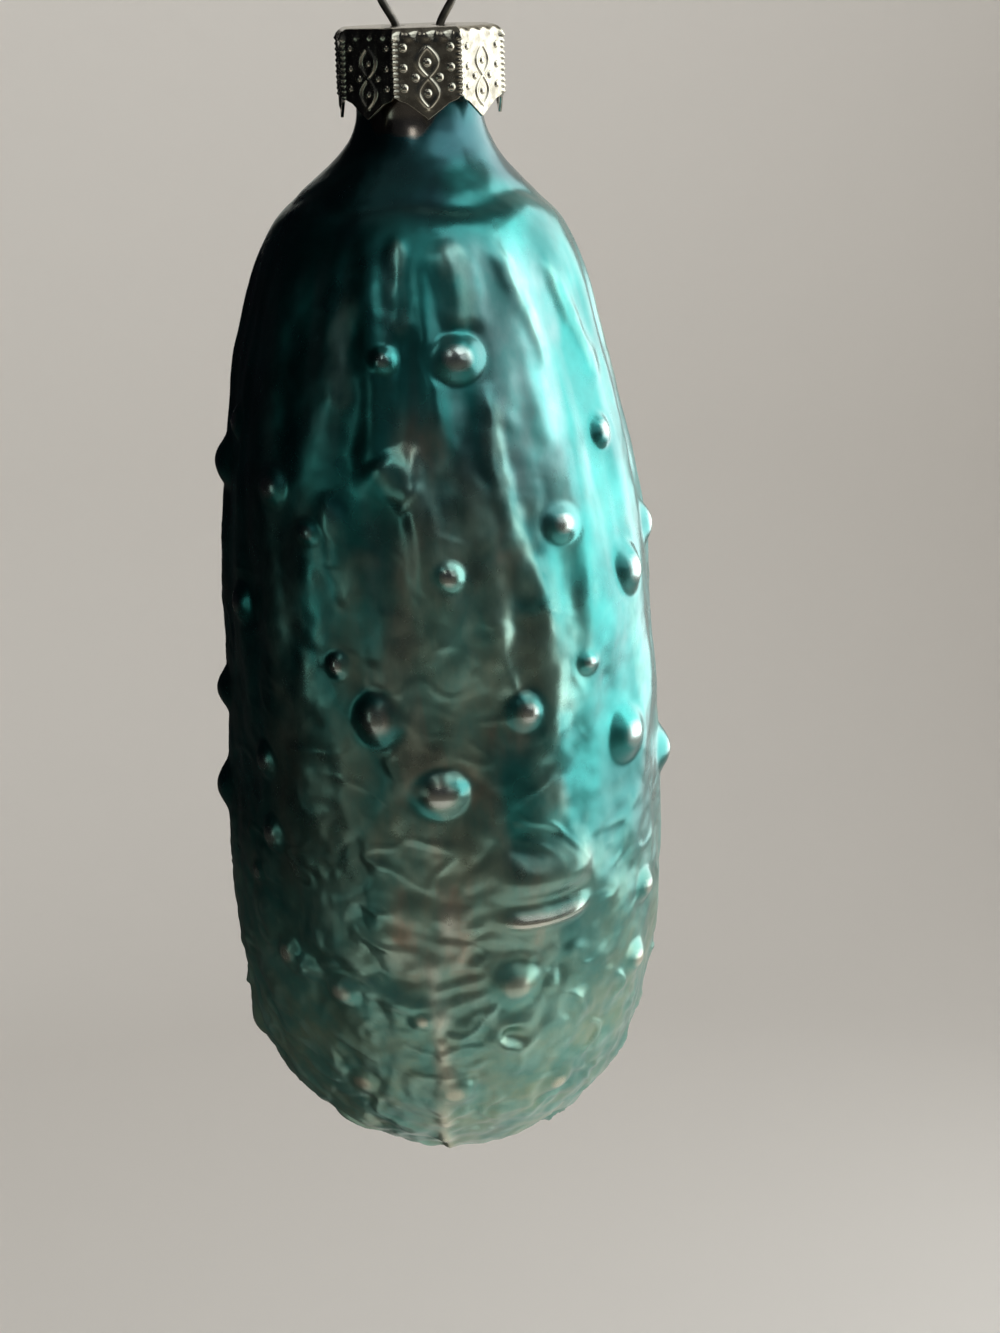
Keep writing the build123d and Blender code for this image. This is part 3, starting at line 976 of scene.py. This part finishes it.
def lacquered_glass():
    """Silvered glass under a satin green lacquer, thin in places and worn to silver on the warts, with
    painted sheen, shade and reflections in its colour.
    """
    deep, mid = (0.012, 0.17, 0.165), (0.038, 0.38, 0.36)
    # Pale bluish painted sheen, and the same under painted shade
    haze, dim_haze = (0.30, 0.48, 0.49), (0.17, 0.27, 0.275)
    # Pale greens of the lower part: partly paler patina, partly painted light
    pale_green, pale_olive = (0.21, 0.43, 0.345), (0.36, 0.47, 0.32)
    # Khaki and brown are a painted reflection of a brown room on the front and the lump, and the colour
    # of thin lacquer in scattered patches
    khaki, brown, mint = (0.31, 0.40, 0.31), (0.45, 0.37, 0.28), (0.40, 0.70, 0.60)
    # Painted shade for the neck and shoulder
    neck_blue = (0.015, 0.085, 0.105)
    # Cream is a painted warm reflection of the floor on worn silver towards the tip
    silver, cream = (0.80, 0.82, 0.78), (0.90, 0.80, 0.62)
    dull_silver, old_silver = (0.20, 0.17, 0.14), (0.40, 0.36, 0.31)

    nodes = Nodes("lacquered_glass")
    cloud = nodes.ramp(nodes.noise(150.0, 5.0), 0.35, 0.68)
    speck = nodes.ramp(nodes.noise(420.0, 4.0, 0.5), 0.38, 0.66)
    blotch = nodes.ramp(nodes.noise(330.0, 6.0), 0.40, 0.60)
    stroke = nodes.ramp(nodes.noise(240.0, 3.0, 0.35), 0.50, 0.60)
    pool, pale, bare = nodes.attribute("pool"), nodes.attribute("pale"), nodes.attribute("bare")
    worn = nodes.masked("silver", speck, 0.45, 0.85, high=0.7)

    # Colour, from the lacquer's own green to what lies over or shows through it, and to the painted
    # sheen, shade and reflections
    colour = nodes.mix(cloud, deep, mid)
    # Darker lacquer where it pools, and painted shade in its patches on the front and right
    colour = nodes.mix(nodes.math("MULTIPLY", pool, 0.5), colour, deep)
    # Painted sheen in streaks and a hazy patch, darker where painted shade lies over it
    colour = nodes.mix(nodes.masked("streak", speck, 0.35, 0.8), colour, nodes.mix(pool, haze, dim_haze))
    pale_colour = nodes.mix(blotch, pale_green, pale_olive)
    # Paler lower part: partly patina, partly painted light
    colour = nodes.mix(nodes.masked("pale", cloud, 0.45, 0.9), colour, pale_colour)
    # Painted brown reflection down the front and on the lump, and thin lacquer in scattered patches
    colour = nodes.mix(nodes.masked("thin", speck, 0.45, 0.9), colour, nodes.mix(stroke, khaki, brown))
    colour = nodes.mix(nodes.masked("crest", speck, 0.1, 0.6), colour, mint)
    # Painted shade on the neck and shoulder, less of it on the lit right
    colour = nodes.mix(nodes.masked("neck", cloud, 0.95, 0.7), colour, neck_blue)
    # Worn silver, tinted towards the tip with a painted warm reflection of the floor
    colour = nodes.mix(worn, colour, nodes.mix(pale, silver, cream))
    colour = nodes.mix(bare, colour, nodes.mix(speck, dull_silver, old_silver))
    nodes.set("Base Color", colour)

    # Sheen: satin, rougher at the pale tip and smoother on bare silver
    rough = nodes.ramp(nodes.noise(260.0, 5.0), 0.3, 0.7, 0.24, 0.36)
    rough = nodes.math("ADD", rough, nodes.ramp(pale, 0.0, 1.0, 0.0, 0.08))
    smoother = nodes.ramp(nodes.math("MAXIMUM", worn, bare), 0.0, 1.0, 0.0, 0.12)
    nodes.set("Roughness", nodes.math("SUBTRACT", rough, smoother))
    nodes.set("Metallic", nodes.ramp(pale, 0.0, 1.0, 1.0, 0.85))
    nodes.set("Coat Weight", 0.6)
    nodes.set("Coat Roughness", 0.26)
    nodes.bump(nodes.noise(900.0, 3.0), 0.2, 0.05)
    return nodes.material


def cap_metal():
    """Pale champagne-gold sheet, tarnished in the hollows of its stamping."""
    gold, dull_gold, tarnish = (0.60, 0.575, 0.475), (0.46, 0.435, 0.36), (0.13, 0.11, 0.085)
    nodes = Nodes("cap_metal")
    colour = nodes.mix(nodes.ramp(nodes.noise(700.0, 5.0), 0.35, 0.7), gold, dull_gold)
    hollow = nodes.ramp(nodes.attribute("relief"), 0.0, 0.35, 0.55, 0.0)
    grime = nodes.math("MULTIPLY", hollow, nodes.ramp(nodes.noise(1500.0, 4.0), 0.4, 0.65))
    nodes.set("Base Color", nodes.mix(grime, colour, tarnish))
    scratch = nodes.noise(2600.0, 2.0, 0.12)
    nodes.set("Roughness", nodes.ramp(scratch, 0.3, 0.7, 0.12, 0.26))
    nodes.set("Metallic", 1.0)
    nodes.bump(scratch, 0.2, 0.02)
    return nodes.material


def hanger_steel():
    """Dull dark spring wire with fine drawing marks along it."""
    dark_steel, steel = (0.10, 0.092, 0.082), (0.22, 0.205, 0.18)
    nodes = Nodes("hanger_steel")
    stain = nodes.ramp(nodes.noise(900.0, 5.0), 0.35, 0.7)
    nodes.set("Base Color", nodes.mix(stain, dark_steel, steel))
    marks = nodes.noise(3200.0, 3.0, 0.15)
    nodes.set("Roughness", nodes.ramp(marks, 0.3, 0.7, 0.30, 0.5))
    nodes.set("Metallic", 1.0)
    nodes.bump(marks, 0.3, 0.02)
    return nodes.material


def studio_paper():
    """Matt pale paper with a slight mottle."""
    nodes = Nodes("studio_paper")
    darker = tuple(0.96 * part for part in PAPER)
    nodes.set("Base Color", nodes.mix(nodes.noise(3.0, 2.0), darker, PAPER))
    nodes.set("Roughness", 0.9)
    return nodes.material


def dim_glow(name, low_colour, high_colour, low_mm, high_mm):
    """A card's own dim glow, from one colour at a low height to another at a high one."""
    nodes = Nodes(name)
    height = nodes.add("ShaderNodeSeparateXYZ")
    nodes.link(nodes.coordinates, height.inputs["Vector"])
    share = nodes.ramp(height.outputs["Z"], low_mm * MM, high_mm * MM)
    nodes.set("Emission Color", nodes.mix(share, low_colour, high_colour))
    nodes.set("Emission Strength", 1.0)
    nodes.set("Base Color", (0.0, 0.0, 0.0))
    nodes.set("Specular IOR Level", 0.0)
    return nodes.material


def stage_tent():
    """Floor and round wall in one, turned from a profile of radius and height."""
    bend = TENT_RADIUS - FLOOR_RADIUS
    profile = [(60.0, FLOOR_Z), (FLOOR_RADIUS * 0.5, FLOOR_Z)]
    for t in np.linspace(0.0, 0.5 * math.pi, 17):
        profile.append((FLOOR_RADIUS + bend * math.sin(t), FLOOR_Z + bend * (1.0 - math.cos(t))))
    profile.append((TENT_RADIUS, FLOOR_Z + TENT_HEIGHT))
    columns = 96
    turn = np.linspace(0.0, 2.0 * math.pi, columns, endpoint=False)
    points = [(r * math.cos(t), r * math.sin(t), z) for r, z in profile for t in turn]
    faces = [tuple(range(columns))] + tube_faces(len(profile), columns)
    tent = mesh_piece("floor_and_wall", points, faces)
    tent.data.materials.append(studio_paper())


def stage_card(name, azimuths, profile, glow):
    """A curved dim card that only the object's reflections show."""
    turns = np.radians(np.linspace(*azimuths, 25))
    points = [(r * math.sin(turn), -r * math.cos(turn), z) for turn in turns for r, z in profile]
    rows = len(profile)
    faces = []
    for first in range(0, rows * (len(turns) - 1), rows):
        faces += [(i, i + rows, i + rows + 1, i + 1) for i in range(first, first + rows - 1)]
    card = mesh_piece(name, points, faces)
    card.data.materials.append(dim_glow(name, *glow))
    card.visible_camera = False
    card.visible_diffuse = False
    card.visible_shadow = False


def area_lamp(name, place_mm, target_mm, size_mm, radiance, colour):
    """A soft box of a given size that aims at a point, with its brightness as radiance."""
    lamp = bpy.data.lights.new(name, "AREA")
    lamp.shape = "RECTANGLE"
    lamp.size, lamp.size_y = size_mm[0] * MM, size_mm[1] * MM
    lamp.energy = radiance * math.pi * lamp.size * lamp.size_y
    lamp.color = colour
    box = add_object(name, lamp)
    aim = (Vector(target_mm) - Vector(place_mm)).normalized()
    turn = aim.to_track_quat("-Z", "Y").to_matrix().to_4x4()
    box.matrix_world = Matrix.Translation(Vector(place_mm) * MM) @ turn
    box.visible_camera = False


def make_lamps():
    """A window-like box at the right, smaller boxes and strips, and four washes on the wall."""
    level = (0.0, 0.0, WINDOW_PLACE[2])
    area_lamp("window_box", WINDOW_PLACE, level, WINDOW_SIZE, WINDOW_RADIANCE, DAYLIGHT)
    for name, (place, size, radiance, colour) in BOXES.items():
        area_lamp(name, place, MIDDLE, size, radiance, colour)
    for azimuth in np.radians([0.0, 90.0, 180.0, 270.0]):
        outward = Vector((math.sin(azimuth), -math.cos(azimuth), 0.0))
        place = outward * WASH_REACH + Vector((0.0, 0.0, WASH_Z))
        target = outward * TENT_RADIUS + Vector((0.0, 0.0, WASH_TARGET_Z))
        area_lamp("wall_wash", place, target, WASH_SIZE, WASH_RADIANCE, WARM)
    place, size, radiance, colour = LEFT_STRIP
    area_lamp("left_strip", place, MIDDLE, size, radiance, colour)


def make_studio():
    """Pale floor and wall, lamps, cards for the reflections, and a faint sky above."""
    stage_tent()
    make_lamps()
    for name, (azimuths, profile, glow) in CARDS.items():
        stage_card(name, azimuths, profile, glow)
    world = bpy.data.worlds.new("studio")
    bpy.context.scene.world = world
    world.use_nodes = True
    sky = world.node_tree.nodes["Background"]
    sky.inputs["Color"].default_value = (*SKY, 1.0)
    sky.inputs["Strength"].default_value = SKY_STRENGTH


def make_camera():
    """The photograph's viewpoint, with the small roll that makes the ornament lean."""
    lens = bpy.data.cameras.new("photo_camera")
    lens.sensor_width = SENSOR
    lens.lens = SENSOR * FOCAL_PIXELS / PHOTO_HEIGHT
    lens.clip_start, lens.clip_end = 0.005, 20.0
    camera = add_object("photo_camera", lens)
    ahead = Vector((0.0, math.cos(CAMERA_PITCH), -math.sin(CAMERA_PITCH)))
    level = Vector((1.0, 0.0, 0.0))
    upright = level.cross(ahead)
    right = level * math.cos(CAMERA_ROLL) - upright * math.sin(CAMERA_ROLL)
    up = upright * math.cos(CAMERA_ROLL) + level * math.sin(CAMERA_ROLL)
    turn = Matrix((right, up, -ahead)).transposed().to_4x4()
    camera.matrix_world = Matrix.Translation(Vector(CAMERA_PLACE) * MM) @ turn
    bpy.context.scene.camera = camera


def dress(piece, material, node, body):
    """Gives a piece its finish and lets it stand for a CAD node on its body."""
    piece.data.materials.clear()
    piece.data.materials.append(material)
    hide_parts(node)
    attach(piece, body)


dress(make_glass(), lacquered_glass(), "glass_pickle", "glass")
dress(make_cap(), cap_metal(), "cap", "cap")
dress(make_hanger(), hanger_steel(), "hanger", "hanger")
make_studio()
make_camera()
bpy.context.scene.view_settings.view_transform = "Standard"
